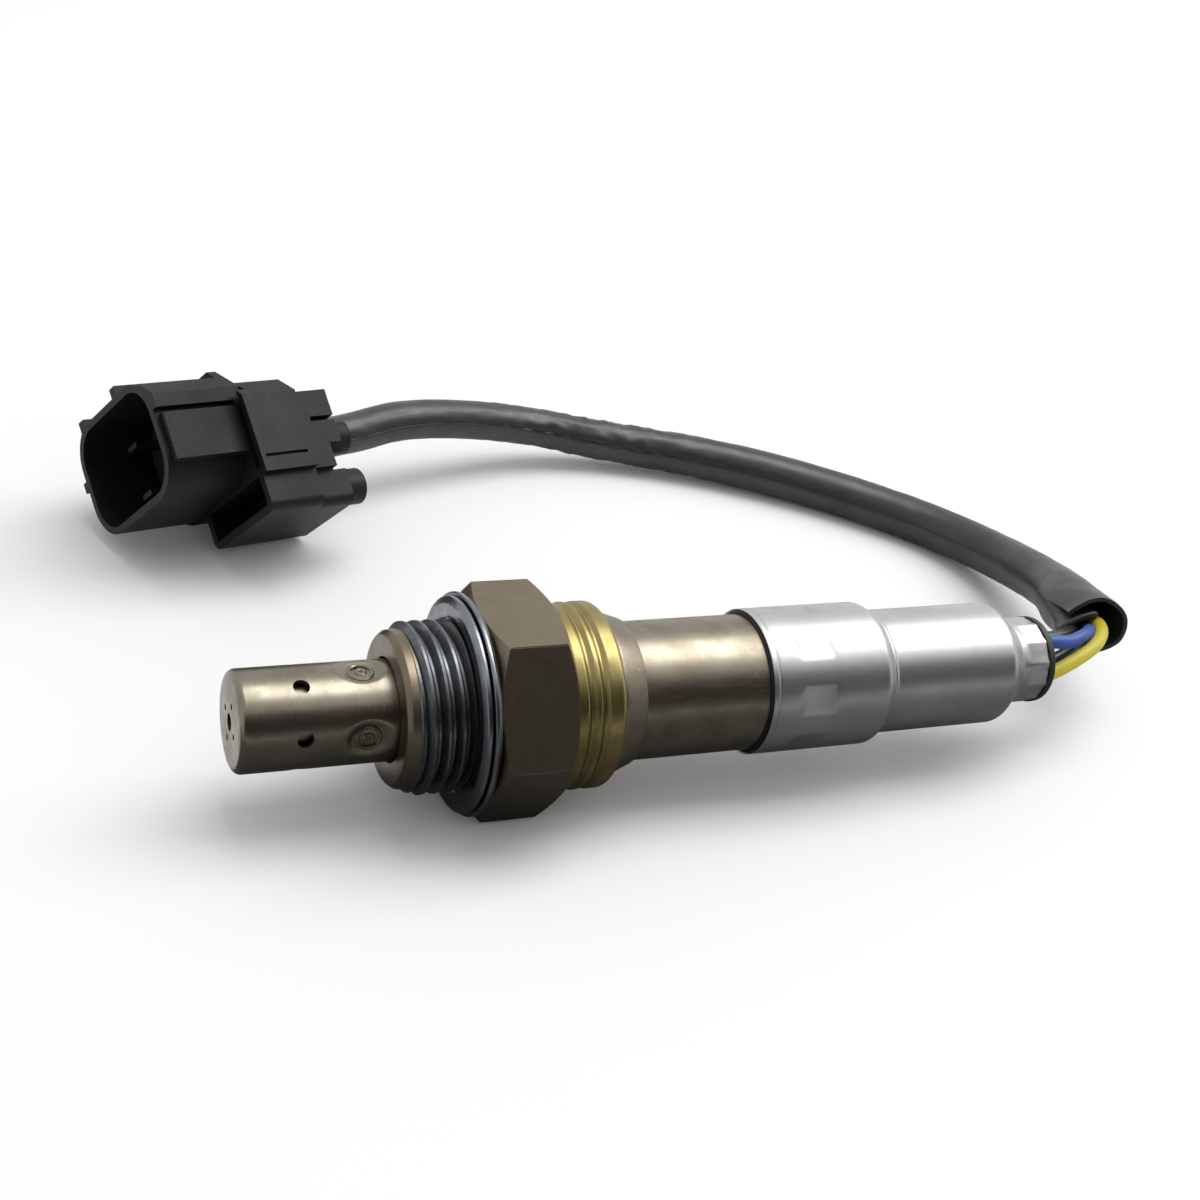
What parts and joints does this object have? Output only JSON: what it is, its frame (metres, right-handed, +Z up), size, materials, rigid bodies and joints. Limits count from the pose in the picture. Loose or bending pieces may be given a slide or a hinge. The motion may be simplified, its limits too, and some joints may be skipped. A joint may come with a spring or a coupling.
{
  "type": "oxygen sensor",
  "caption": "Threaded exhaust oxygen sensor with a perforated tip, spanner hexagon, stepped sleeve and a short sheathed lead to a sealed connector.",
  "frame": {"origin": "on the sensor's axis, at the front face of the gasket, where the sensor seals against its boss", "axes": "-X along the axis towards the gas tip, the way the thread screws in; +X towards the lead; +Z up with two flats of the hexagon level"},
  "size_m": [0.1258, 0.0889, 0.0252],
  "materials": {
    "protector_steel": "satin, faintly heat tinted",
    "shell_steel": "dark bronze tint on the hexagon, machined",
    "gasket_steel": "satin",
    "ring_brass": "satin",
    "tube_steel": "bronze heat tint, satin",
    "sleeve_steel": "satin",
    "element_ceramic": "matt",
    "heater_ceramic": "matt",
    "seal_powder": "matt",
    "insulator_ceramic": "matt",
    "packing_steel": "satin",
    "filter_film": "matt black",
    "contact_steel": "satin",
    "grommet_rubber": "matt black",
    "blue_insulation": "smooth, slightly glossy",
    "yellow_insulation": "smooth, slightly glossy",
    "black_insulation": "smooth, slightly glossy",
    "sheath_vinyl": "soft black vinyl tube, faintly glossy",
    "connector_plastic": "fine matt black",
    "carrier_plastic": "matt dark grey",
    "blade_brass": "tinned",
    "seal_rubber": "matt"
  },
  "bodies": {
    "root": {"outer_protector": "protector_steel", "inner_protector": "protector_steel", "metal_shell": "shell_steel", "gasket_ring": "gasket_steel", "collar_ring": "ring_brass", "sensing_element": "element_ceramic", "heater_rod": "heater_ceramic", "seat_packing": "packing_steel", "talc_seal": "seal_powder", "insulator_sleeve": "insulator_ceramic", "crimp_packing": "packing_steel", "inner_tube": "tube_steel", "vent_filter": "filter_film", "outer_sleeve": "sleeve_steel", "contact_bush": "insulator_ceramic", "contact_springs": "contact_steel", "cable_grommet": "grommet_rubber", "blue_wire": "blue_insulation", "yellow_wire": "yellow_insulation", "black_wire_front": "black_insulation", "black_wire_rear": "black_insulation", "cable_sheath": "sheath_vinyl", "connector_housing": "connector_plastic", "blade_carrier": "carrier_plastic", "connector_blades": "blade_brass", "cable_seal": "seal_rubber"}
  },
  "joints": []
}
